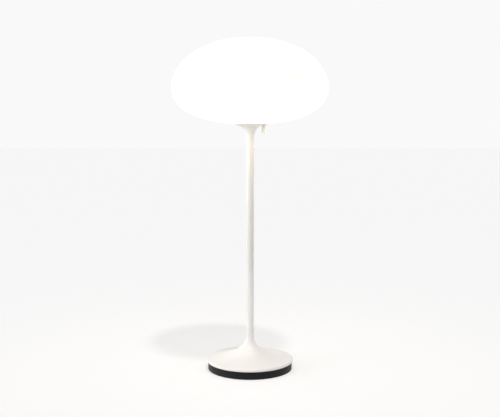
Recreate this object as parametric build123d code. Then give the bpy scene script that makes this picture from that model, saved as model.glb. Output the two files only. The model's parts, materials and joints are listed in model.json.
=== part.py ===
from build123d import *
import math
import os

# A mushroom floor lamp: a weighted trumpet base, a straight stem, a trumpet
# collar and a blown opal glass shade that rests on it.
# All sizes are in millimetres. +Z is up and the origin is on the floor, under
# the middle of the base. The switch knob is on the +X side, the cord inlet at +Y.

# Clearances
slip_fit = 0.05  # between pieces that slide together and stay put
turn_fit = 0.05  # round the switch shaft, which turns
screw_fit = 0.1  # round a screw or a threaded pipe
loose_fit = 0.6  # between hidden pieces that don't locate each other
shade_play = 0.8  # between the glass mouth and the ring that centres it

# Foot, bottom plate and band
pad_t = 3.0
pad_proud = 1.0
pad_inset = 0.4
plate_t = 2.5
band_inset = 4.0
band_wall = 3.5
band_h = 24.5
band_lip = 3.0
plate_screw_r = 2.5
plate_screw_inset = 44.0
plate_screw_count = 4
plate_screw_grip = 16.0
plate_head_r = 4.5
plate_head_t = 2.2

# Base cover: a dish that sweeps up into the stem
rim_r = 141.6
rim_h = 9.5
rim_round = 4.2
flare_h = 73.0
flare_neck_pull = 36.0
flare_dish_pull = 75.0
flare_dish_rise = 1.0
cover_wall = 4.0
boss_r = 24.0
boss_drop = 64.0

# Ballast weight: a disc with a raised middle and a hub that carries the cover
weight_web = 10.0
weight_disc_h = 20.5
weight_step_r = 66.0
weight_step_h = 10.0
nut_pocket_r = 22.0
nut_pocket_h = 14.0
wiring_pocket_r = 60.0
cord_channel_w = 20.0
cord_channel_roof = 23.0

# Stem, its two spigots and the threaded pipe that ties the lamp together
stem_r = 12.5
stem_wall = 1.5
stem_length = 633.0
stem_bevel = 0.4
spigot_depth = 20.0
pipe_r = 5.0
pipe_bore_r = 3.4
pipe_tail = 1.5
nut_flats = 14.0
nut_t = 6.0
washer_r = 10.0
washer_t = 1.5

# Collar: a trumpet that flares out under the glass, and the ring set in its top
collar_neck_h = 11.0
collar_flare_h = 51.0
collar_r = 58.3
collar_edge_t = 2.0
collar_neck_pull = 18.2
collar_rim_pull = 43.6
collar_rim_drop = 1.5
collar_pocket_r = 20.0
collar_pocket_h = 14.0
ring_wall = 1.5
ring_h = 4.5
ring_seat = 1.5

# Shade and its gasket
gasket_t = 1.4
gasket_inset = 0.4
shade_r = 250.0
shade_crown_h = 159.0
shade_belly_h = 115.7
crown_fullness = 0.566  # share of each half-axis that the curve's handles cover
belly_fullness = 0.623
shade_wall = 3.0
shade_mouth_r = 54.0
shade_ground_h = 2.1

# Cord inlet, cord clamp and terminal block
cord_hole_r = 3.6
cord_hole_z = 14.0
grommet_r = 6.4
grommet_flange_r = 8.0
grommet_flange_t = 1.8
clamp_y = 47.0
clamp_t = 8.0
clamp_w = 28.0
clamp_floor = 2.4
clamp_screw_r = 1.5
clamp_screw_spacing = 20.0
clamp_screw_grip = 8.0
block_y = 24.0
block_size = (28.0, 16.0, 11.0)
pole_pitch = 9.0
pole_count = 3
wire_hole_r = 1.3
insert_r = 2.2
insert_length = 12.0
insert_screw_r = 1.1
insert_screw_spacing = 7.0
block_screw_r = 1.4
block_screw_grip = 7.0
small_head_r = 2.6
small_head_t = 2.0
earth_x = -32.0
earth_screw_r = 2.0
earth_screw_grip = 9.0
earth_tag_r = 4.2
earth_tag_t = 0.8
earth_barrel_r = 1.7
earth_barrel_length = 7.0
earth_head_t = 2.6
lead_r = 1.0
flex_r = 2.0
bend_share = 0.45  # of the shorter run beside a wire's bend

# Lamp holder
holder_r = 20.0
holder_foot_r = 23.5
holder_foot_t = 2.0
holder_floor = 3.0
holder_wall = 2.0
holder_ledge = 2.0
holder_chamber_h = 12.0
holder_cap_h = 22.0
pipe_rise = 6.0
lock_nut_t = 3.0
core_h = 11.0
screw_shell_r = 13.8
screw_shell_wall = 0.6
screw_shell_inset = 1.0
skirt_gap = 1.2
skirt_nose_h = 15.0
skirt_nose_r = 17.5
contact_r = 4.0
contact_post_r = 1.5
contact_t = 0.6
contact_rise = 3.0
holder_terminal_x = 11.5
holder_terminal_size = (3.0, 4.0, 9.0)

# Bulb
bulb_cap_r = 13.2
bulb_cap_wall = 0.5
bulb_cap_h = 20.0
bulb_tip_r = 4.8
bulb_tip_t = 1.2
bulb_insulator_h = 4.0
bulb_body_h = 34.0
bulb_body_r = 29.0
bulb_body_wall = 1.5
bulb_neck_h = 3.0
bulb_board_t = 1.6
bulb_driver_size = (12.0, 14.0, 26.0)
bulb_globe_r = 30.0
bulb_globe_belly = 14.0
bulb_globe_wall = 1.2

# Switch and knob
switch_x = 44.0
switch_r = 7.0
switch_h = 16.0
switch_cap_t = 3.0
switch_bush_r = 3.2
switch_boss_r = 6.5
switch_boss_drop = 5.8
switch_nut_flats = 8.0
switch_nut_t = 2.2
switch_tag_size = (0.8, 2.4, 4.0)
switch_tag_spacing = 6.0
shaft_r = 1.6
knob_r = 6.5
knob_h = 24.0
knob_gap = 1.2
knob_round = 1.6
knob_recess_r = 5.1
knob_recess_h = 1.8
knob_floor = 4.5
knob_screw_r = 1.5
knob_screw_z = 12.0
lead_rise = 12.0
lead_loop_x = 29.0

# Heights worked out from the sizes above, from the floor up
band_bottom = pad_proud
band_top = band_bottom + band_h
plate_top = pad_t + plate_t
rim_top = band_top + rim_h
neck_top = rim_top + flare_h
hub_top = neck_top - boss_drop
web_bottom = hub_top - weight_web
wiring_roof = web_bottom - nut_pocket_h
collar_bottom = neck_top + stem_length
collar_top = collar_bottom + collar_neck_h + collar_flare_h
pocket_floor = collar_top - collar_pocket_h
ring_bottom = collar_top - ring_seat
pipe_bottom = web_bottom - washer_t - nut_t - pipe_tail
holder_floor_top = collar_top + holder_floor
pipe_top = holder_floor_top + pipe_rise
core_bottom = holder_floor_top + holder_chamber_h
core_top = core_bottom + core_h
holder_cap_top = collar_top + holder_cap_h
contact_top = core_top + contact_rise
bulb_cap_bottom = contact_top + bulb_tip_t + bulb_insulator_h
bulb_cap_top = bulb_cap_bottom + bulb_cap_h
skirt_top = bulb_cap_top - skirt_gap
board_bottom = bulb_cap_top - bulb_neck_h + bulb_body_h
globe_bottom = board_bottom + bulb_board_t
seat_z = collar_top + gasket_t
belt_z = seat_z - shade_ground_h + shade_belly_h
boss_bottom = collar_top - switch_boss_drop
bush_bottom = boss_bottom - switch_nut_t
knob_top = boss_bottom - knob_gap
knob_bottom = knob_top - knob_h

# Widths worked out from the sizes above
band_r = rim_r - band_inset
band_inner_r = band_r - band_wall
plate_screw_circle = band_inner_r - plate_screw_inset
plate_r = band_inner_r - slip_fit * 6
weight_r = band_inner_r - loose_fit
stem_bore_r = stem_r - stem_wall
spigot_r = stem_bore_r - slip_fit
pipe_hole_r = pipe_r + screw_fit
ring_r = shade_mouth_r - shade_play
ring_bore_r = ring_r - ring_wall
holder_bore_r = holder_r - holder_wall
chamber_r = holder_bore_r - holder_ledge
core_r = holder_bore_r - slip_fit
shell_outer_r = screw_shell_r + screw_shell_wall
bush_bore_r = shaft_r + turn_fit

MIDDLE, LOW = Align.CENTER, Align.MIN


def tube(outer, inner, low, high, x=0.0, y=0.0):
    """Upright round bar from low to high, bored right through if inner isn't 0."""
    bar = Cylinder(outer, high - low, align=(MIDDLE, MIDDLE, LOW))
    if inner:
        bar -= Cylinder(inner, high - low, align=(MIDDLE, MIDDLE, LOW))
    return Pos(x, y, low) * bar


def side_bar(radius, start, end):
    """Round bar that runs from start along +X or +Y to end."""
    axis = Vector(*end) - Vector(*start)
    return Plane(origin=start, z_dir=axis) * Cylinder(
        radius, axis.length, align=(MIDDLE, MIDDLE, LOW)
    )


def block(size, low_center):
    """Box that stands on the middle of its lowest face."""
    return Pos(*low_center) * Box(*size, align=(MIDDLE, MIDDLE, LOW))


def turned(*edges):
    """Solid of revolution about Z of closed edges drawn as radius and height."""
    return revolve(Plane.XZ * make_face(list(edges)), Axis.Z)


def turned_corners(*corners):
    """Solid of revolution about Z of a straight-sided outline."""
    return revolve(Plane.XZ * make_face(Polyline(*corners, close=True)), Axis.Z)


def hex_nut(flats, bore, low, high, x=0.0):
    """Hexagon nut on a vertical axis."""
    prism = extrude(RegularPolygon(flats / 2, 6, major_radius=False), high - low)
    return Pos(x, 0, low) * prism - tube(bore, 0, low, high, x)


def wire(points, radius):
    """Round wire on straight runs, joined by arcs that fill the runs beside them."""
    runs = [(Vector(*b) - Vector(*a)) for a, b in zip(points, points[1:])]
    bends = [
        bend_share * min(a.length, b.length) / math.tan(math.radians(a.get_angle(b) / 2))
        for a, b in zip(runs, runs[1:])
    ]
    path = FilletPolyline(*points, radius=bends)
    solid = sweep(Plane(origin=path @ 0, z_dir=path % 0) * Circle(radius), path)
    share = solid.volume / (math.pi * radius**2 * path.length)
    print("wire bends", [round(bend, 1) for bend in bends], "volume share", round(share, 4))
    return solid


def plate_screw_places():
    """Middle of each bottom plate screw, clear of the cord channel."""
    return PolarLocations(plate_screw_circle, plate_screw_count, 180 / plate_screw_count)


# Base

def flare_curve(drop):
    """The cover's top line, from the stem down and out to the rim."""
    return Bezier(
        (stem_r, neck_top - drop),
        (stem_r, neck_top - flare_neck_pull - drop),
        (rim_r - flare_dish_pull, rim_top + flare_dish_rise - drop),
        (rim_r, rim_top - drop),
    )


def under_flare(drop, inner, outer, low, high):
    """All that lies under the cover's top line within a ring, for its inside."""
    curve = flare_curve(drop)
    corners = Polyline(curve @ 1, (rim_r, low), (0, low), (0, neck_top - drop), curve @ 0)
    return turned(curve, corners) & tube(outer, inner, low, high)


def base_cover():
    curve = flare_curve(0)
    corners = Polyline(curve @ 1, (rim_r, band_top), (0, band_top), (0, neck_top), curve @ 0)
    section = make_face([curve, corners])
    rounding = min(rim_round, bend_share * rim_h)
    section = fillet(section.vertices().group_by(Axis.X)[-1], rounding)
    cover = revolve(Plane.XZ * section, Axis.Z)
    cover -= under_flare(cover_wall, boss_r, band_inner_r, band_top, neck_top)
    cover -= tube(boss_r + loose_fit, 0, band_top, hub_top)
    cover -= tube(pipe_hole_r, 0, hub_top, neck_top)
    return cover - tube(spigot_r + slip_fit, 0, neck_top - spigot_depth, neck_top)


def base_band():
    band = tube(band_r, band_inner_r, band_bottom, band_top)
    band += tube(band_r, band_inner_r - band_lip, band_bottom, pad_t)
    outside = band_r + grommet_flange_t
    return band - side_bar(grommet_r + slip_fit, (0, 0, cord_hole_z), (0, outside, cord_hole_z))


def base_weight():
    weight = tube(weight_r, pipe_hole_r, plate_top, plate_top + weight_disc_h)
    weight += tube(weight_step_r, pipe_hole_r, plate_top, wiring_roof + weight_step_h)
    weight += tube(boss_r, pipe_hole_r, plate_top, hub_top)
    weight -= tube(nut_pocket_r, 0, plate_top, web_bottom)
    weight -= tube(wiring_pocket_r, 0, plate_top, wiring_roof)
    channel_h = cord_channel_roof - plate_top
    weight -= block((cord_channel_w, rim_r, channel_h), (0, rim_r / 2, plate_top)) & tube(
        rim_r, boss_r, plate_top, cord_channel_roof
    )
    for place in plate_screw_places():
        hole_top = plate_top + plate_screw_grip
        weight -= place * tube(plate_screw_r + screw_fit, 0, plate_top, hole_top)
    for x in (-clamp_screw_spacing / 2, clamp_screw_spacing / 2):
        weight -= tube(clamp_screw_r + screw_fit, 0, wiring_roof, clamp_screw_top(), x, clamp_middle())
    for x in (-pole_pitch / 2, pole_pitch / 2):
        weight -= tube(block_screw_r + screw_fit, 0, wiring_roof, block_screw_top(), x, block_middle())
    return weight - tube(
        earth_screw_r + screw_fit, 0, wiring_roof, wiring_roof + earth_screw_grip, earth_x
    )


def bottom_plate():
    plate = tube(plate_r, 0, pad_t, plate_top)
    for place in plate_screw_places():
        plate -= place * tube(plate_screw_r + screw_fit, 0, pad_t, plate_top)
    return plate


def bottom_plate_screws():
    screw = tube(plate_head_r, 0, pad_t - plate_head_t, pad_t)
    screw += tube(plate_screw_r, 0, pad_t, plate_top + plate_screw_grip)
    return [place * screw for place in plate_screw_places()]


def foot_pad():
    pad = tube(band_inner_r - band_lip - pad_inset, 0, 0, pad_t)
    for place in plate_screw_places():
        pad -= place * tube(plate_head_r + pad_inset, 0, 0, pad_t)
    return pad


# Wiring in the base

def clamp_middle():
    return clamp_y + clamp_t / 2


def clamp_bottom():
    return cord_hole_z - cord_hole_r - clamp_floor


def clamp_screw_top():
    return wiring_roof + clamp_screw_grip


def block_middle():
    return block_y + block_size[1] / 2


def block_bottom():
    return wiring_roof - block_size[2]


def block_screw_top():
    return wiring_roof + block_screw_grip


def pole_places():
    """X of each pole of the terminal block."""
    first = -(pole_count - 1) / 2 * pole_pitch
    return [first + i * pole_pitch for i in range(pole_count)]


def insert_start():
    """Y at which the brass inserts begin, behind the small wire holes."""
    return block_y + block_size[1] - insert_length - insert_r


def insert_screw_places():
    middle = insert_start() + insert_length / 2
    ends = (middle - insert_screw_spacing / 2, middle + insert_screw_spacing / 2)
    return [(x, y) for x in pole_places() for y in ends]


def cord_grommet():
    inner_face = band_inner_r - grommet_flange_t
    outer_face = band_r + grommet_flange_t
    flanges = side_bar(grommet_flange_r, (0, inner_face, cord_hole_z), (0, outer_face, cord_hole_z))
    flanges -= tube(band_r, band_inner_r, band_bottom, band_top)
    neck = side_bar(grommet_r, (0, inner_face, cord_hole_z), (0, outer_face, cord_hole_z))
    hole = side_bar(cord_hole_r, (0, inner_face, cord_hole_z), (0, outer_face, cord_hole_z))
    return flanges + neck - hole


def cord_clamp():
    low = clamp_bottom()
    clamp = block((clamp_w, clamp_t, wiring_roof - low), (0, clamp_middle(), low))
    clamp -= side_bar(cord_hole_r, (0, clamp_y, cord_hole_z), (0, clamp_y + clamp_t, cord_hole_z))
    for x in (-clamp_screw_spacing / 2, clamp_screw_spacing / 2):
        clamp -= tube(clamp_screw_r + screw_fit, 0, low, wiring_roof, x, clamp_middle())
    return clamp


def cord_clamp_screws():
    low = clamp_bottom()
    screw = tube(small_head_r, 0, low - small_head_t, low)
    screw += tube(clamp_screw_r, 0, low, clamp_screw_top())
    places = (-clamp_screw_spacing / 2, clamp_screw_spacing / 2)
    return [Pos(x, clamp_middle(), 0) * screw for x in places]


def terminal_block():
    low = block_bottom()
    body = block(block_size, (0, block_middle(), low))
    for x in pole_places():
        far = block_y + block_size[1]
        body -= side_bar(wire_hole_r, (x, block_y, cord_hole_z), (x, far, cord_hole_z))
        body -= side_bar(insert_r + slip_fit, (x, insert_start(), cord_hole_z), (x, far, cord_hole_z))
    for x, y in insert_screw_places():
        body -= tube(insert_screw_r + screw_fit, 0, low, cord_hole_z, x, y)
    for x in (-pole_pitch / 2, pole_pitch / 2):
        body -= tube(block_screw_r + screw_fit, 0, low, wiring_roof, x, block_middle())
    return body


def terminal_inserts():
    inserts = []
    for x in pole_places():
        start, end = insert_start(), insert_start() + insert_length
        insert = side_bar(insert_r, (x, start, cord_hole_z), (x, end, cord_hole_z))
        insert -= side_bar(wire_hole_r, (x, start, cord_hole_z), (x, end, cord_hole_z))
        for screw_x, y in insert_screw_places():
            insert -= tube(insert_screw_r + screw_fit, 0, block_bottom(), cord_hole_z, screw_x, y)
        inserts.append(insert)
    return inserts


def terminal_screws():
    low = block_bottom() + insert_screw_r
    return [tube(insert_screw_r, 0, low, cord_hole_z - wire_hole_r, x, y) for x, y in insert_screw_places()]


def terminal_block_screws():
    low = block_bottom()
    screw = tube(small_head_r, 0, low - small_head_t, low)
    screw += tube(block_screw_r, 0, low, block_screw_top())
    return [Pos(x, block_middle(), 0) * screw for x in (-pole_pitch / 2, pole_pitch / 2)]


def earth_tag():
    low = wiring_roof - earth_tag_t
    tag = tube(earth_tag_r, 0, low, wiring_roof, earth_x)
    barrel_z = wiring_roof - earth_barrel_r
    start = (earth_x + earth_screw_r * 2, 0, barrel_z)
    end = (earth_x + earth_screw_r * 2 + earth_barrel_length, 0, barrel_z)
    tag += side_bar(earth_barrel_r, start, end)
    return tag - tube(earth_screw_r * 2 - slip_fit, earth_tag_r, 0, low, earth_x) - tube(
        earth_screw_r + screw_fit, 0, low - earth_barrel_r * 2, wiring_roof, earth_x
    )


def earth_screw():
    head_top = wiring_roof - earth_tag_t
    screw = tube(earth_screw_r, 0, head_top, wiring_roof + earth_screw_grip, earth_x)
    return screw + tube(earth_screw_r * 2 - screw_fit, 0, head_top - earth_head_t, head_top, earth_x)


def earth_lead():
    barrel_z = wiring_roof - earth_barrel_r
    start = earth_x + earth_screw_r * 2 + earth_barrel_length
    pole_x = pole_places()[0]
    points = [(start, 0, barrel_z), (pole_x, 0, barrel_z), (pole_x, block_y, cord_hole_z)]
    return wire(points, lead_r)


# Stem

def tie_pipe():
    return tube(pipe_r, pipe_bore_r, pipe_bottom, pipe_top)


def stem_tube():
    return turned_corners(
        (stem_bore_r, neck_top),
        (stem_r - stem_bevel, neck_top),
        (stem_r, neck_top + stem_bevel),
        (stem_r, collar_bottom - stem_bevel),
        (stem_r - stem_bevel, collar_bottom),
        (stem_bore_r, collar_bottom),
    )


def spigot(joint_z):
    """Bush that lines the stem up with the piece beyond its end."""
    return tube(spigot_r, pipe_hole_r, joint_z - spigot_depth, joint_z + spigot_depth)


def tie_washer(low):
    return tube(washer_r, pipe_hole_r, low, low + washer_t)


def tie_nut(low, thickness):
    return hex_nut(nut_flats, pipe_r + slip_fit, low, low + thickness)


def mains_flex():
    points = [(0, 0, core_bottom), (0, 0, cord_hole_z), (0, block_y, cord_hole_z)]
    return wire(points, flex_r)


# Collar and shade

def collar():
    flare_start = collar_bottom + collar_neck_h
    edge_bottom = collar_top - collar_edge_t
    flare = Bezier(
        (stem_r, flare_start),
        (stem_r, flare_start + collar_neck_pull),
        (collar_r - collar_rim_pull, edge_bottom - collar_rim_drop),
        (collar_r, edge_bottom),
    )
    corners = Polyline(
        flare @ 1, (collar_r, collar_top), (0, collar_top), (0, collar_bottom), (stem_r, collar_bottom), flare @ 0
    )
    body = turned(flare, corners)
    body += tube(switch_boss_r, 0, boss_bottom, collar_top, switch_x)
    body -= tube(ring_r + slip_fit, ring_bore_r - slip_fit, ring_bottom, collar_top)
    body -= tube(collar_pocket_r, 0, pocket_floor, collar_top)
    body -= tube(pipe_hole_r, 0, collar_bottom, pocket_floor)
    body -= tube(spigot_r + slip_fit, 0, collar_bottom, collar_bottom + spigot_depth)
    return body - tube(switch_bush_r + slip_fit, 0, boss_bottom, collar_top, switch_x)


def shade_ring():
    return tube(ring_r, ring_bore_r, ring_bottom, collar_top + ring_h)


def shade_gasket():
    return tube(collar_r - gasket_inset, ring_r + gasket_inset, collar_top, seat_z)


def shade_bowl(inset):
    """The glass form, a domed crown over a fuller belly, inset all round."""
    radius, crown, belly = shade_r - inset, shade_crown_h - inset, shade_belly_h - inset
    top = Bezier(
        (radius, belt_z),
        (radius, belt_z + crown_fullness * crown),
        (crown_fullness * radius, belt_z + crown),
        (0, belt_z + crown),
    )
    side = Bezier(
        (0, belt_z - belly),
        (belly_fullness * radius, belt_z - belly),
        (radius, belt_z - belly_fullness * belly),
        (radius, belt_z),
    )
    axis = Line((0, belt_z + crown), (0, belt_z - belly))
    return turned(top, side, axis)


def shade_glass():
    glass = shade_bowl(0) - shade_bowl(shade_wall)
    glass -= tube(shade_mouth_r, 0, belt_z - shade_belly_h, belt_z)
    return glass - tube(shade_r, 0, belt_z - shade_belly_h - shade_ground_h, seat_z)


# Lamp holder

def holder_cap():
    cap = tube(holder_r, 0, collar_top, holder_cap_top)
    cap += tube(holder_foot_r, 0, collar_top, collar_top + holder_foot_t)
    cap -= tube(chamber_r, 0, holder_floor_top, core_bottom)
    cap -= tube(holder_bore_r, 0, core_bottom, holder_cap_top)
    cap -= tube(pipe_hole_r, 0, collar_top, holder_floor_top)
    for y in switch_lead_places():
        cap -= side_bar(lead_r + screw_fit, (0, y, lead_hole_z()), (holder_foot_r, y, lead_hole_z()))
    return cap


def holder_core():
    return tube(core_r, 0, core_bottom, core_top)


def holder_terminals():
    low = core_bottom - holder_terminal_size[2]
    return [block(holder_terminal_size, (holder_terminal_x, y, low)) for y in switch_lead_places()]


def holder_screw_shell():
    return tube(shell_outer_r, screw_shell_r, core_top, skirt_top - screw_shell_inset)


def holder_contact():
    contact = tube(contact_post_r, 0, core_top, contact_top)
    return contact + tube(contact_r, 0, contact_top - contact_t, contact_top)


def holder_skirt():
    shoulder = skirt_top - skirt_nose_h
    bore_r = shell_outer_r + slip_fit
    skirt = tube(holder_r, 0, holder_cap_top, shoulder)
    skirt += tube(skirt_nose_r, 0, shoulder, skirt_top)
    skirt -= tube(holder_bore_r, 0, holder_cap_top, core_top)
    return skirt - tube(bore_r, 0, core_top, skirt_top)


# Bulb

def bulb_tip():
    return tube(bulb_tip_r, 0, contact_top, contact_top + bulb_tip_t)


def bulb_insulator():
    low = contact_top + bulb_tip_t
    return turned_corners((0, low), (bulb_tip_r, low), (bulb_cap_r - bulb_cap_wall, bulb_cap_bottom), (0, bulb_cap_bottom))


def bulb_cap():
    cap = tube(bulb_cap_r, 0, bulb_cap_bottom, bulb_cap_top)
    return cap - tube(bulb_cap_r - bulb_cap_wall, 0, bulb_cap_bottom + bulb_cap_wall, bulb_cap_top)


def bulb_body():
    neck_r = bulb_cap_r - bulb_cap_wall - slip_fit
    low = bulb_cap_top - bulb_neck_h
    wall = bulb_body_wall
    return turned_corners(
        (neck_r - wall, low),
        (neck_r, low),
        (neck_r, bulb_cap_top),
        (bulb_cap_r + wall, bulb_cap_top),
        (bulb_body_r, board_bottom),
        (bulb_body_r - wall, board_bottom),
        (neck_r - wall, bulb_cap_top + wall),
    )


def bulb_board():
    return tube(bulb_body_r, 0, board_bottom, globe_bottom)


def bulb_driver():
    return block(bulb_driver_size, (0, 0, board_bottom - bulb_driver_size[2]))


def globe_half(inset):
    """The opal globe's outline, inset all round but open at its foot."""
    foot_r, radius = bulb_body_r - inset, bulb_globe_r - inset
    belt = globe_bottom + bulb_globe_belly
    side = Bezier((foot_r, globe_bottom), (radius, belt - bulb_globe_belly / 2), (radius, belt))
    dome = CenterArc((0, belt), radius, 0, 90)
    corners = Polyline((0, belt + radius), (0, globe_bottom), (foot_r, globe_bottom))
    return turned(side, dome, corners)


def bulb_globe():
    return globe_half(0) - globe_half(bulb_globe_wall)


# Switch and knob

def switch_lead_places():
    """Y of the two switch leads."""
    return (-switch_tag_spacing / 2, switch_tag_spacing / 2)


def lead_hole_z():
    """Height at which the switch leads enter the lamp holder."""
    return core_bottom - holder_terminal_size[2] / 2


def switch_body():
    top = collar_top + switch_h
    body = tube(switch_r, 0, collar_top, top, switch_x)
    body += tube(switch_bush_r, 0, bush_bottom, collar_top, switch_x)
    return body - tube(bush_bore_r, 0, bush_bottom, top - switch_cap_t, switch_x)


def switch_tags():
    low = collar_top + switch_h
    return [block(switch_tag_size, (switch_x, y, low)) for y in switch_lead_places()]


def switch_nut():
    return hex_nut(switch_nut_flats, switch_bush_r + slip_fit, bush_bottom, boss_bottom, switch_x)


def switch_leads():
    tag_top = collar_top + switch_h + switch_tag_size[2]
    leads = []
    for y in switch_lead_places():
        points = [
            (switch_x, y, tag_top),
            (switch_x, y, tag_top + lead_rise),
            (lead_loop_x, y, tag_top + lead_rise),
            (lead_loop_x, y, lead_hole_z()),
            (holder_terminal_x + holder_terminal_size[0] / 2, y, lead_hole_z()),
        ]
        leads.append(wire(points, lead_r))
    return leads


def knob_shaft():
    top = collar_top + switch_h - switch_cap_t - screw_fit
    return tube(shaft_r, 0, knob_bottom + knob_floor, top, switch_x)


def switch_knob():
    knob = tube(knob_r, 0, knob_bottom, knob_top, switch_x)
    knob = fillet(knob.edges().group_by(Axis.Z)[0], knob_round)
    knob -= tube(knob_recess_r, 0, knob_top - knob_recess_h, knob_top, switch_x)
    knob -= tube(shaft_r + slip_fit / 2, 0, knob_bottom + knob_floor, knob_top, switch_x)
    z = knob_bottom + knob_screw_z
    return knob - side_bar(knob_screw_r + slip_fit, (switch_x, 0, z), (switch_x, knob_r, z))


def knob_screw():
    z = knob_bottom + knob_screw_z
    bar = side_bar(knob_screw_r, (switch_x, 0, z), (switch_x, knob_r - screw_fit * 3, z))
    return bar - tube(shaft_r + slip_fit / 2, 0, knob_bottom, knob_top, switch_x)


parts = {
    "foot_pad": foot_pad(),
    "bottom_plate": bottom_plate(),
    "bottom_plate_screws": bottom_plate_screws(),
    "base_band": base_band(),
    "base_weight": base_weight(),
    "base_cover": base_cover(),
    "cord_grommet": cord_grommet(),
    "cord_clamp": cord_clamp(),
    "cord_clamp_screws": cord_clamp_screws(),
    "terminal_block": terminal_block(),
    "terminal_inserts": terminal_inserts(),
    "terminal_screws": terminal_screws(),
    "terminal_block_screws": terminal_block_screws(),
    "earth_tag": earth_tag(),
    "earth_screw": earth_screw(),
    "earth_lead": earth_lead(),
    "tie_pipe": tie_pipe(),
    "tie_washer_lower": tie_washer(web_bottom - washer_t),
    "tie_nut_lower": tie_nut(web_bottom - washer_t - nut_t, nut_t),
    "stem_spigot_lower": spigot(neck_top),
    "stem_tube": stem_tube(),
    "stem_spigot_upper": spigot(collar_bottom),
    "collar": collar(),
    "tie_washer_upper": tie_washer(pocket_floor),
    "tie_nut_upper": tie_nut(pocket_floor + washer_t, nut_t),
    "mains_flex": mains_flex(),
    "shade_ring": shade_ring(),
    "shade_gasket": shade_gasket(),
    "shade_glass": shade_glass(),
    "holder_cap": holder_cap(),
    "holder_lock_nut": tie_nut(holder_floor_top, lock_nut_t),
    "holder_core": holder_core(),
    "holder_terminals": holder_terminals(),
    "holder_screw_shell": holder_screw_shell(),
    "holder_contact": holder_contact(),
    "holder_skirt": holder_skirt(),
    "bulb_tip": bulb_tip(),
    "bulb_insulator": bulb_insulator(),
    "bulb_cap": bulb_cap(),
    "bulb_body": bulb_body(),
    "bulb_driver": bulb_driver(),
    "bulb_board": bulb_board(),
    "bulb_globe": bulb_globe(),
    "switch_body": switch_body(),
    "switch_tags": switch_tags(),
    "switch_nut": switch_nut(),
    "switch_leads": switch_leads(),
    "knob_shaft": knob_shaft(),
    "switch_knob": switch_knob(),
    "knob_screw": knob_screw(),
}

os.makedirs("parts", exist_ok=True)
for name, shape in parts.items():
    if isinstance(shape, list):
        shape = Compound(children=[solid for piece in shape for solid in piece.solids()])
    export_step(shape, f"parts/{name}.step")
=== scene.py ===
import json
import math

import bmesh
import bpy
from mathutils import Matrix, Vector

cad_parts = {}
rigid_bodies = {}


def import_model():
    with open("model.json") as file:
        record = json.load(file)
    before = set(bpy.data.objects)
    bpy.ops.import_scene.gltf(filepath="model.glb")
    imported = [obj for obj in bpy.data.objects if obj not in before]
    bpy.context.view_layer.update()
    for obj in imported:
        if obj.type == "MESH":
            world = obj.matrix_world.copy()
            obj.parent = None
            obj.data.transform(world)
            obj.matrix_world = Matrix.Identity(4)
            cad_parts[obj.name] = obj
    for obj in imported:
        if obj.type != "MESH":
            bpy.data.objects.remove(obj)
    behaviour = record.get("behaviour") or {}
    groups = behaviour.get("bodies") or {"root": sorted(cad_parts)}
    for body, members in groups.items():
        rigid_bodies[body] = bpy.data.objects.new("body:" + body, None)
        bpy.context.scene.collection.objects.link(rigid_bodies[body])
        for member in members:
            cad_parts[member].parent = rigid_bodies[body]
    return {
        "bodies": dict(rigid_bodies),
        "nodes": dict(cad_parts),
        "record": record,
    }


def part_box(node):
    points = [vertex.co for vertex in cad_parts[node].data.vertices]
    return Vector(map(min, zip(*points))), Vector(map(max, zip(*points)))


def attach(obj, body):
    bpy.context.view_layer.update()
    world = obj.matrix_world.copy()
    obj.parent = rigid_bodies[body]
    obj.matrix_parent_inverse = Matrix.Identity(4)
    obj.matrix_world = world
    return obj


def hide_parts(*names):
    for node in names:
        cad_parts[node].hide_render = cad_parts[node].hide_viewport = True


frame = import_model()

# A lit mushroom floor lamp on a plain pale floor. Lengths are in metres, colours are linear RGB,
# and the scale of a noise or of cells is in features to the metre.

SCENE = bpy.context.scene
for leftover in list(SCENE.objects):  # what a new Blender file starts with
    if leftover.name not in frame["nodes"] and leftover not in frame["bodies"].values():
        bpy.data.objects.remove(leftover)
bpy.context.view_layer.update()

# Camera: about 3 m away, a little below the middle of the shade
CAMERA_DISTANCE = 2.985
CAMERA_HEIGHT = 0.878
CAMERA_PITCH = math.radians(6.65)
CAMERA_LENS = 66.8  # mm
CAMERA_SENSOR = 36.0  # mm
CAMERA_REACH = 100.0  # how far it sees

# Studio light: even light from all round, and three soft suns
BACKGROUND = 0.947  # what the camera sees behind the lamp, just under white
AMBIENT = (0.475, 0.48, 0.49)
WARM_WHITE = (1.0, 0.99, 0.98)
COOL_WHITE = (0.99, 0.995, 1.0)
SUNS = (  # name, direction of its light, strength, colour, spread in degrees
    ("top_sun", (-0.125, 0.383, -1.0), 0.88, WARM_WHITE, 5.0),
    ("side_sun", (0.86, 0.34, -0.14), 1.36, COOL_WHITE, 34.0),
    ("rim_sun", (0.80, -0.50, -0.10), 0.50, COOL_WHITE, 24.0),
)

# Floor: a share of its look takes light and shadow, and the rest is an even glow
FLOOR_COLOR = (0.90, 0.897, 0.89)
FLOOR_DIFFUSE = 0.50
FLOOR_GLOW = 0.556
FLOOR_HALF = 14.0  # half of its side

# Glow of the lit glass, by distance from the axis and by height
GLOW_FOOT = (0.95, 0.70, 0.36)
GLOW_BY_BULB = (3.30, 2.58, 1.66)
GLOW_BELLY = (2.60, 2.10, 1.42)
GLOW_CROWN = (0.43, 0.385, 0.325)
FOOT_RADII = (0.062, 0.088)
BELLY_RADII = (0.090, 0.220)
CROWN_HEIGHTS = (0.935, 0.860)

# Scuffs on the band fade out upwards between these heights
SCUFF_HEIGHTS = (0.007, 0.001)

# Parts of a noise's range that a remap spreads out
NOISE_WIDE = (0.3, 0.7)
NOISE_MIDDLE = (0.35, 0.65)

FINE_RELIEF = 0.0001  # depth of the finest surface texture

# The Mix node's sockets for colours
MIX_FIRST, MIX_SECOND, MIX_RESULT = 6, 7, 2

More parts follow.
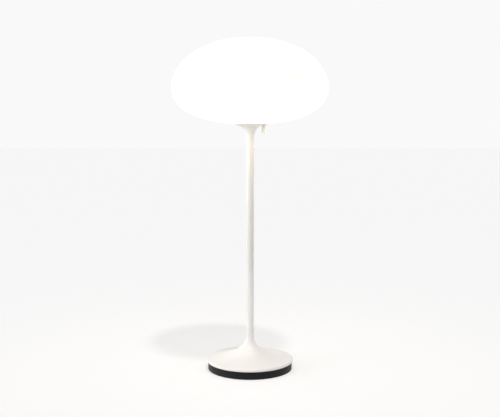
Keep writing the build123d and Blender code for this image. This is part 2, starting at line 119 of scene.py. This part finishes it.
# Rolled thread of the bulb's cap and of the shell that it screws into
THREAD_PITCH = 0.00362
THREAD_DEPTH = 0.00105
THREAD_SIDES = 96
THREAD_STEP = 0.0003
THREAD_RUN_OUT = 0.0016  # height over which it fades to nothing at either end
THREAD_CREASE = math.radians(50.0)  # edges that turn further than this stay crisp
CAP_SHEET = 0.0005
CAP_RIM = 0.0045  # plain rim over the cap's thread, round the housing's neck
CAP_FLOOR_HOLE = 0.006
SHELL_SHEET = 0.0004
SHELL_DEPTH = 0.0006


def look(direction):
    """Rotation of a lamp that shines along a direction."""
    return Vector(direction).to_track_quat("-Z", "Y").to_euler()


def add_camera():
    data = bpy.data.cameras.new("photo_camera")
    data.lens = CAMERA_LENS
    data.sensor_width = CAMERA_SENSOR
    data.clip_end = CAMERA_REACH
    camera = bpy.data.objects.new("photo_camera", data)
    camera.location = (0.0, -CAMERA_DISTANCE, CAMERA_HEIGHT)
    camera.rotation_euler = (math.pi / 2 - CAMERA_PITCH, 0.0, 0.0)
    SCENE.collection.objects.link(camera)
    SCENE.camera = camera


def add_suns():
    for name, direction, strength, color, spread in SUNS:
        data = bpy.data.lights.new(name, "SUN")
        data.energy = strength
        data.color = color
        data.angle = math.radians(spread)
        sun = bpy.data.objects.new(name, data)
        sun.rotation_euler = look(direction)
        SCENE.collection.objects.link(sun)


def seen_directly(tree):
    """1 for a ray from the camera, or by way of a gloss or glass, else 0."""
    path = tree.nodes.new("ShaderNodeLightPath")
    seen = path.outputs["Is Camera Ray"]
    for ray in ("Is Glossy Ray", "Is Transmission Ray"):
        either = tree.nodes.new("ShaderNodeMath")
        either.operation = "MAXIMUM"
        tree.links.new(seen, either.inputs[0])
        tree.links.new(path.outputs[ray], either.inputs[1])
        seen = either.outputs[0]
    return seen


def add_world():
    world = bpy.data.worlds.new("studio")
    world.use_nodes = True
    SCENE.world = world
    tree = world.node_tree
    tree.nodes.clear()
    light = tree.nodes.new("ShaderNodeBackground")
    light.inputs["Color"].default_value = (*AMBIENT, 1.0)
    backdrop = tree.nodes.new("ShaderNodeBackground")
    backdrop.inputs["Color"].default_value = (BACKGROUND, BACKGROUND, BACKGROUND, 1.0)
    mix = tree.nodes.new("ShaderNodeMixShader")
    out = tree.nodes.new("ShaderNodeOutputWorld")
    tree.links.new(seen_directly(tree), mix.inputs[0])
    tree.links.new(light.outputs[0], mix.inputs[1])
    tree.links.new(backdrop.outputs[0], mix.inputs[2])
    tree.links.new(mix.outputs[0], out.inputs["Surface"])


def floor_paint():
    """Plain pale paint that the camera sees near the background's tone, with the lamp's shadow on it."""
    mat = bpy.data.materials.new("floor_paint")
    mat.use_nodes = True
    tree = mat.node_tree
    tree.nodes.clear()
    paint = tree.nodes.new("ShaderNodeBsdfDiffuse")
    paint.inputs["Color"].default_value = (*FLOOR_COLOR, 1.0)
    seen = tree.nodes.new("ShaderNodeBsdfDiffuse")
    seen.inputs["Color"].default_value = (*(c * FLOOR_DIFFUSE for c in FLOOR_COLOR), 1.0)
    glow = tree.nodes.new("ShaderNodeEmission")
    glow.inputs["Strength"].default_value = FLOOR_GLOW
    both = tree.nodes.new("ShaderNodeAddShader")
    mix = tree.nodes.new("ShaderNodeMixShader")
    out = tree.nodes.new("ShaderNodeOutputMaterial")
    tree.links.new(seen.outputs[0], both.inputs[0])
    tree.links.new(glow.outputs[0], both.inputs[1])
    tree.links.new(seen_directly(tree), mix.inputs[0])
    tree.links.new(paint.outputs[0], mix.inputs[1])
    tree.links.new(both.outputs[0], mix.inputs[2])
    tree.links.new(mix.outputs[0], out.inputs["Surface"])
    return mat


def add_floor():
    mesh = bpy.data.meshes.new("floor")
    corners = [(x * FLOOR_HALF, y * FLOOR_HALF, 0.0) for x, y in ((-1, -1), (1, -1), (1, 1), (-1, 1))]
    mesh.from_pydata(corners, [], [(0, 1, 2, 3)])
    mesh.materials.append(floor_paint())
    floor = bpy.data.objects.new("floor", mesh)
    SCENE.collection.objects.link(floor)


class Surface:
    """A Principled material built from noise in the object's own coordinates."""

    def __init__(self, name, metallic=0.0, **sockets):
        self.mat = bpy.data.materials.new(name)
        self.mat.use_nodes = True
        self.tree = self.mat.node_tree
        self.bsdf = self.tree.nodes["Principled BSDF"]
        self.bsdf.inputs["Metallic"].default_value = metallic
        for socket, value in sockets.items():
            self.bsdf.inputs[socket.replace("_", " ")].default_value = value
        self.place = self.tree.nodes.new("ShaderNodeTexCoord").outputs["Object"]

    def node(self, kind, **values):
        made = self.tree.nodes.new("ShaderNode" + kind)
        for key, value in values.items():
            setattr(made, key, value)
        return made

    def link(self, source, target):
        self.tree.links.new(source, target)

    def stretched(self, stretch):
        """The object's coordinates, scaled apart along X, Y and Z."""
        mapping = self.node("Mapping")
        mapping.inputs["Scale"].default_value = stretch
        self.link(self.place, mapping.inputs["Vector"])
        return mapping.outputs["Vector"]

    def noise(self, scale, detail=3.0, roughness=0.5, stretch=None):
        made = self.node("TexNoise")
        made.inputs["Scale"].default_value = scale
        made.inputs["Detail"].default_value = detail
        made.inputs["Roughness"].default_value = roughness
        self.link(self.stretched(stretch) if stretch else self.place, made.inputs["Vector"])
        return made.outputs["Fac"]

    def cells(self, scale):
        made = self.node("TexVoronoi")
        made.inputs["Scale"].default_value = scale
        self.link(self.place, made.inputs["Vector"])
        return made.outputs["Distance"]

    def remap(self, value, low, high, to_low=0.0, to_high=1.0):
        """A value between low and high, carried over to another range and held inside it."""
        made = self.node("MapRange")
        sockets = ("From Min", "From Max", "To Min", "To Max")
        for socket, number in zip(sockets, (low, high, to_low, to_high)):
            made.inputs[socket].default_value = number
        self.link(value, made.inputs["Value"])
        return made.outputs["Result"]

    def math(self, operation, first, second):
        made = self.node("Math", operation=operation)
        for socket, value in zip(made.inputs, (first, second)):
            if isinstance(value, (int, float)):
                socket.default_value = value
            else:
                self.link(value, socket)
        return made.outputs[0]

    def mix(self, share, first, second):
        """Blend from one colour to another, each a triple or a socket."""
        made = self.node("Mix", data_type="RGBA")
        self.link(share, made.inputs["Factor"])
        for socket, value in zip((made.inputs[MIX_FIRST], made.inputs[MIX_SECOND]), (first, second)):
            if isinstance(value, tuple):
                socket.default_value = (*value, 1.0)
            else:
                self.link(value, socket)
        return made.outputs[MIX_RESULT]

    def axis(self, name):
        """The X, Y or Z of the object's coordinates."""
        split = self.node("SeparateXYZ")
        self.link(self.place, split.inputs[0])
        return split.outputs[name]

    def from_axis(self):
        """Distance from the lamp's axis."""
        x, y = self.axis("X"), self.axis("Y")
        squares = self.math("ADD", self.math("MULTIPLY", x, x), self.math("MULTIPLY", y, y))
        return self.math("SQRT", squares, 0.0)

    def color(self, source):
        self.link(source, self.bsdf.inputs["Base Color"])

    def rough(self, source, low, high):
        """Roughness that a noise moves between two values."""
        self.link(self.remap(source, *NOISE_WIDE, low, high), self.bsdf.inputs["Roughness"])

    def bump(self, *layers):
        """Height layers, each (source, strength, depth in metres), one on another."""
        normal = None
        for source, strength, depth in layers:
            made = self.node("Bump")
            made.inputs["Strength"].default_value = strength
            made.inputs["Distance"].default_value = depth
            self.link(source, made.inputs["Height"])
            if normal is not None:
                self.link(normal, made.inputs["Normal"])
            normal = made.outputs["Normal"]
        self.link(normal, self.bsdf.inputs["Normal"])
        return self


def tinted(surface, base, other, scale, **noise):
    """Two close tones of one colour, in soft patches."""
    patches = surface.remap(surface.noise(scale, **noise), *NOISE_MIDDLE)
    return surface.mix(patches, base, other)


def cream_paint():
    s = Surface("cream_paint")
    tone = tinted(s, (0.868, 0.859, 0.840), (0.850, 0.839, 0.816), 9.0)
    fleck = s.remap(s.noise(1400.0, detail=1.0), 0.62, 0.75, 0.0, 0.35)
    s.color(s.mix(fleck, tone, (0.80, 0.785, 0.745)))
    s.rough(s.noise(55.0), 0.34, 0.44)
    return s.bump((s.noise(520.0, detail=1.5), 0.22, 0.00025), (s.noise(40.0), 0.05, 0.0006))


def opal_glass():
    s = Surface("opal_glass", Coat_Weight=0.35, Coat_Roughness=0.05)
    s.color(tinted(s, (0.93, 0.92, 0.895), (0.915, 0.90, 0.87), 7.0))
    s.rough(s.noise(24.0), 0.16, 0.26)
    radius = s.from_axis()
    cloud = s.remap(s.noise(8.0, detail=2.0), *NOISE_WIDE, 0.98, 1.02)
    # Brightest low down by the bulb, warm at the foot on the collar, and calm over the crown
    belly = s.mix(s.remap(radius, *BELLY_RADII), GLOW_BY_BULB, GLOW_BELLY)
    belly = s.mix(s.remap(radius, *FOOT_RADII), GLOW_FOOT, belly)
    glow = s.mix(s.remap(s.axis("Z"), *CROWN_HEIGHTS), GLOW_CROWN, belly)
    s.link(glow, s.bsdf.inputs["Emission Color"])
    s.link(cloud, s.bsdf.inputs["Emission Strength"])
    flow = s.noise(9.0, detail=2.0, stretch=(1.0, 1.0, 0.35))
    return s.bump((flow, 0.10, 0.002), (s.noise(900.0, detail=1.0), 0.04, FINE_RELIEF))


def band_rubber():
    s = Surface("band_rubber", Specular_IOR_Level=0.19)
    tone = tinted(s, (0.0052, 0.0056, 0.0066), (0.0075, 0.0079, 0.0090), 30.0)
    scuffs = s.math("MULTIPLY", s.remap(s.noise(120.0, stretch=(1, 1, 6)), 0.52, 0.70),
                    s.remap(s.axis("Z"), *SCUFF_HEIGHTS))
    s.color(s.mix(scuffs, tone, (0.055, 0.054, 0.052)))
    s.rough(s.noise(75.0), 0.42, 0.54)
    return s.bump((s.noise(1500.0, detail=1.0), 0.22, 0.00015), (s.noise(45.0), 0.06, 0.0005))


def foot_felt():
    s = Surface("foot_felt", Sheen_Weight=0.35, Sheen_Roughness=0.6, Specular_IOR_Level=0.15)
    fibres = s.noise(700.0, detail=6.0, roughness=0.75, stretch=(1.0, 1.0, 3.0))
    s.color(s.mix(s.remap(fibres, 0.35, 0.7), (0.018, 0.018, 0.021), (0.055, 0.054, 0.058)))
    s.rough(fibres, 0.86, 0.98)
    return s.bump((fibres, 0.7, 0.0006), (s.noise(160.0, detail=4.0), 0.4, 0.0006))


def plate_steel():
    s = Surface("plate_steel", metallic=1.0)
    spangle = s.cells(140.0)
    s.color(s.mix(s.remap(spangle, 0.2, 0.8), (0.50, 0.51, 0.53), (0.60, 0.61, 0.62)))
    s.rough(s.noise(160.0, stretch=(1.0, 12.0, 1.0)), 0.30, 0.46)
    return s.bump((s.noise(260.0, stretch=(1.0, 14.0, 1.0)), 0.12, FINE_RELIEF))


def ballast_iron():
    s = Surface("ballast_iron")
    grain = s.noise(420.0, detail=5.0, roughness=0.65)
    primer = tinted(s, (0.050, 0.051, 0.054), (0.072, 0.070, 0.068), 40.0, detail=5.0)
    rust = s.remap(s.noise(75.0, detail=6.0, roughness=0.7), 0.60, 0.72, 0.0, 0.5)
    s.color(s.mix(rust, primer, (0.13, 0.062, 0.033)))
    s.rough(grain, 0.66, 0.86)
    return s.bump((grain, 0.55, 0.0006), (s.noise(60.0, detail=4.0), 0.3, 0.001))


def zinc_steel():
    s = Surface("zinc_steel", metallic=1.0)
    s.color(tinted(s, (0.60, 0.615, 0.64), (0.68, 0.675, 0.64), 120.0))
    marks = s.noise(60.0, detail=2.0, stretch=(1.0, 1.0, 60.0))
    s.rough(marks, 0.24, 0.38)
    return s.bump((marks, 0.16, 0.00008))


def spigot_aluminium():
    s = Surface("spigot_aluminium", metallic=1.0)
    s.color(tinted(s, (0.74, 0.745, 0.755), (0.80, 0.80, 0.80), 90.0))
    rings = s.noise(40.0, detail=2.0, stretch=(1.0, 1.0, 110.0))
    s.rough(rings, 0.26, 0.40)
    return s.bump((rings, 0.25, FINE_RELIEF))


def contact_brass():
    s = Surface("contact_brass", metallic=1.0)
    tarnish = s.remap(s.noise(220.0, detail=4.0), 0.45, 0.72, 0.0, 0.7)
    s.color(s.mix(tarnish, (0.80, 0.60, 0.27), (0.55, 0.36, 0.15)))
    s.rough(s.noise(300.0), 0.20, 0.36)
    return s.bump((s.noise(500.0, stretch=(1.0, 1.0, 5.0)), 0.10, FINE_RELIEF))


def clear_silicone():
    s = Surface("clear_silicone", Specular_IOR_Level=0.45)
    s.color(tinted(s, (0.105, 0.095, 0.078), (0.135, 0.120, 0.098), 60.0))
    s.rough(s.noise(130.0), 0.34, 0.48)
    return s.bump((s.noise(420.0), 0.12, FINE_RELIEF))


def holder_phenolic():
    s = Surface("holder_phenolic")
    flow = s.noise(55.0, detail=4.0, roughness=0.6, stretch=(1.0, 1.0, 0.4))
    s.color(s.mix(s.remap(flow, *NOISE_MIDDLE), (0.016, 0.0145, 0.0135), (0.026, 0.023, 0.021)))
    s.rough(s.noise(140.0), 0.24, 0.36)
    return s.bump((s.noise(260.0), 0.08, 0.0002), (flow, 0.05, 0.0004))


def holder_ceramic():
    s = Surface("holder_ceramic")
    pores = s.remap(s.cells(900.0), 0.0, 0.22)
    s.color(s.mix(pores, (0.60, 0.58, 0.53), (0.82, 0.80, 0.755)))
    s.rough(s.noise(300.0), 0.58, 0.74)
    return s.bump((pores, 0.35, FINE_RELIEF), (s.noise(500.0), 0.2, FINE_RELIEF))


def white_nylon():
    s = Surface("white_nylon", Subsurface_Weight=0.15, Subsurface_Scale=0.002)
    s.color(tinted(s, (0.80, 0.795, 0.765), (0.76, 0.75, 0.715), 110.0))
    s.rough(s.noise(220.0), 0.40, 0.54)
    return s.bump((s.noise(850.0), 0.16, FINE_RELIEF))


def grommet_rubber():
    s = Surface("grommet_rubber", Specular_IOR_Level=0.35)
    s.color(tinted(s, (0.013, 0.013, 0.014), (0.022, 0.021, 0.021), 200.0))
    s.rough(s.noise(260.0), 0.50, 0.66)
    return s.bump((s.noise(1300.0), 0.25, FINE_RELIEF))


def bulb_metal():
    s = Surface("bulb_metal", metallic=1.0)
    s.color(tinted(s, (0.58, 0.575, 0.56), (0.50, 0.49, 0.47), 200.0))
    s.rough(s.noise(240.0, stretch=(1.0, 1.0, 5.0)), 0.28, 0.42)
    return s.bump((s.noise(420.0, stretch=(1.0, 1.0, 4.0)), 0.1, FINE_RELIEF))


def bulb_glass_black():
    s = Surface("bulb_glass_black", Coat_Weight=0.5)
    s.color(tinted(s, (0.008, 0.008, 0.010), (0.018, 0.016, 0.020), 500.0))
    s.rough(s.noise(400.0), 0.08, 0.18)
    return s.bump((s.noise(350.0), 0.12, 0.0002))


def bulb_housing():
    s = Surface("bulb_housing")
    s.color(tinted(s, (0.84, 0.835, 0.81), (0.80, 0.79, 0.765), 90.0))
    s.rough(s.noise(190.0), 0.28, 0.40)
    return s.bump((s.noise(1100.0), 0.10, FINE_RELIEF))


def bulb_opal():
    s = Surface("bulb_opal")
    s.color(tinted(s, (0.92, 0.91, 0.88), (0.90, 0.885, 0.85), 60.0))
    s.rough(s.noise(160.0), 0.36, 0.48)
    warm = s.mix(s.remap(s.noise(45.0), *NOISE_WIDE), (1.25, 1.14, 0.95), (1.32, 1.21, 1.02))
    s.link(warm, s.bsdf.inputs["Emission Color"])
    s.bsdf.inputs["Emission Strength"].default_value = 1.0
    return s.bump((s.noise(1200.0), 0.08, FINE_RELIEF))


def circuit_board():
    s = Surface("circuit_board", Coat_Weight=0.3)
    tracks = s.node("TexBrick", offset=0.5)
    tracks.inputs["Scale"].default_value = 260.0
    tracks.inputs["Mortar Size"].default_value = 0.05
    s.link(s.place, tracks.inputs["Vector"])
    laminate = tinted(s, (0.020, 0.110, 0.045), (0.030, 0.140, 0.058), 300.0)
    s.color(s.mix(tracks.outputs["Fac"], laminate, (0.060, 0.200, 0.085)))
    s.rough(s.noise(400.0), 0.32, 0.48)
    return s.bump((tracks.outputs["Fac"], 0.3, 0.00005))


def flex_sheath():
    s = Surface("flex_sheath", Subsurface_Weight=0.1, Subsurface_Scale=0.001)
    s.color(tinted(s, (0.76, 0.755, 0.73), (0.70, 0.69, 0.665), 120.0))
    s.rough(s.noise(260.0), 0.36, 0.5)
    return s.bump((s.noise(600.0, stretch=(1.0, 1.0, 0.4)), 0.15, FINE_RELIEF))


def earth_wire():
    s = Surface("earth_wire")
    side = s.node("SeparateXYZ")
    s.link(s.node("NewGeometry").outputs["Normal"], side.inputs[0])
    stripe = s.remap(side.outputs["Z"], 0.10, 0.22)  # yellow on the upper side, green below
    tone = tinted(s, (0.10, 0.34, 0.035), (0.085, 0.29, 0.03), 300.0)
    s.color(s.mix(stripe, tone, (0.78, 0.62, 0.04)))
    s.rough(s.noise(400.0), 0.34, 0.48)
    return s.bump((s.noise(900.0), 0.12, FINE_RELIEF))


def lead_wire():
    s = Surface("lead_wire")
    s.color(tinted(s, (0.060, 0.028, 0.013), (0.085, 0.041, 0.020), 300.0))
    s.rough(s.noise(400.0), 0.34, 0.48)
    return s.bump((s.noise(900.0), 0.12, FINE_RELIEF))


def dress_nodes():
    """Puts each CAD node's procedural finish into its material slots."""
    makers = (
        cream_paint, opal_glass, band_rubber, foot_felt, plate_steel, ballast_iron, zinc_steel,
        spigot_aluminium, contact_brass, clear_silicone, holder_phenolic, holder_ceramic, white_nylon,
        grommet_rubber, bulb_metal, bulb_glass_black, bulb_housing, bulb_opal, circuit_board,
        flex_sheath, earth_wire, lead_wire,
    )
    finishes = {}
    for old in list(bpy.data.materials):  # leaves the plain names to the new finishes
        old.name = "packed_" + old.name
    for make in makers:
        finishes[make.__name__] = make().mat
    for part in frame["record"]["subparts"]:
        node = frame["nodes"][part["node"]]
        for material_slot in node.material_slots:
            material_slot.material = finishes[part["material_slot"]]
    return finishes


def thread_depth(z, low, high, depth):
    """Depth of the thread at a height: full in the middle, run out to nothing at both ends."""
    share = min((z - low) / THREAD_RUN_OUT, (high - z) / THREAD_RUN_OUT)
    return depth * max(0.0, min(1.0, share))


def thread_wall(radius, low, high, thread_low, thread_high, depth):
    """Profile points up a threaded wall: radius of the crests, height, depth of thread."""
    count = round((high - low) / THREAD_STEP)
    heights = [low + (high - low) * i / count for i in range(count + 1)]
    return [(radius, z, thread_depth(z, thread_low, thread_high, depth)) for z in heights]


def threaded(name, profile, body, node, slot, finishes):
    """Sheet metal turned from a closed profile, its walls waved by a rolled thread."""
    shape = bmesh.new()
    rings = []
    for radius, z, depth in profile:
        ring = []
        for side in range(THREAD_SIDES):
            turn = side / THREAD_SIDES
            wave = 0.5 - 0.5 * math.cos(2 * math.pi * (z / THREAD_PITCH - turn))
            reach = radius - depth * wave
            angle = 2 * math.pi * turn
            ring.append(shape.verts.new((reach * math.cos(angle), reach * math.sin(angle), z)))
        rings.append(ring)
    for lower, upper in zip(rings, rings[1:] + rings[:1]):
        for side in range(THREAD_SIDES):
            after = (side + 1) % THREAD_SIDES
            shape.faces.new((lower[side], lower[after], upper[after], upper[side]))
    bmesh.ops.recalc_face_normals(shape, faces=shape.faces[:])
    mesh = bpy.data.meshes.new(name)
    shape.to_mesh(mesh)
    shape.free()
    mesh.shade_smooth()
    mesh.set_sharp_from_angle(angle=THREAD_CREASE)
    mesh.materials.append(finishes[slot])
    piece = bpy.data.objects.new(name, mesh)
    SCENE.collection.objects.link(piece)
    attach(piece, body)
    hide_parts(node)


def add_bulb_thread(finishes):
    low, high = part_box("bulb_cap")
    radius, bottom, top = high[0], low[2], high[2]
    thread_low, thread_high = bottom + 2 * CAP_SHEET, top - CAP_RIM
    outside = thread_wall(radius, bottom, top, thread_low, thread_high, THREAD_DEPTH)
    floor_top = bottom + CAP_SHEET
    inside = thread_wall(radius - CAP_SHEET, floor_top, top, thread_low, thread_high, THREAD_DEPTH)
    hole_low, hole_high = (CAP_FLOOR_HOLE, bottom, 0.0), (CAP_FLOOR_HOLE, floor_top, 0.0)
    profile = [hole_low] + outside + inside[::-1] + [hole_high]
    threaded("bulb_cap_threaded", profile, "bulb", "bulb_cap", "bulb_metal", finishes)


def add_shell_thread(finishes):
    low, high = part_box("holder_screw_shell")
    radius, bottom, top = high[0], low[2], high[2]
    outside = thread_wall(radius, bottom, top, bottom, top, SHELL_DEPTH)
    inside = thread_wall(radius - SHELL_SHEET, bottom, top, bottom, top, SHELL_DEPTH)
    profile = outside + inside[::-1]
    threaded("screw_shell_threaded", profile, "stand", "holder_screw_shell", "contact_brass", finishes)


add_camera()
add_world()
finishes = dress_nodes()
add_bulb_thread(finishes)
add_shell_thread(finishes)
add_floor()
add_suns()

SCENE.view_settings.view_transform = "Standard"
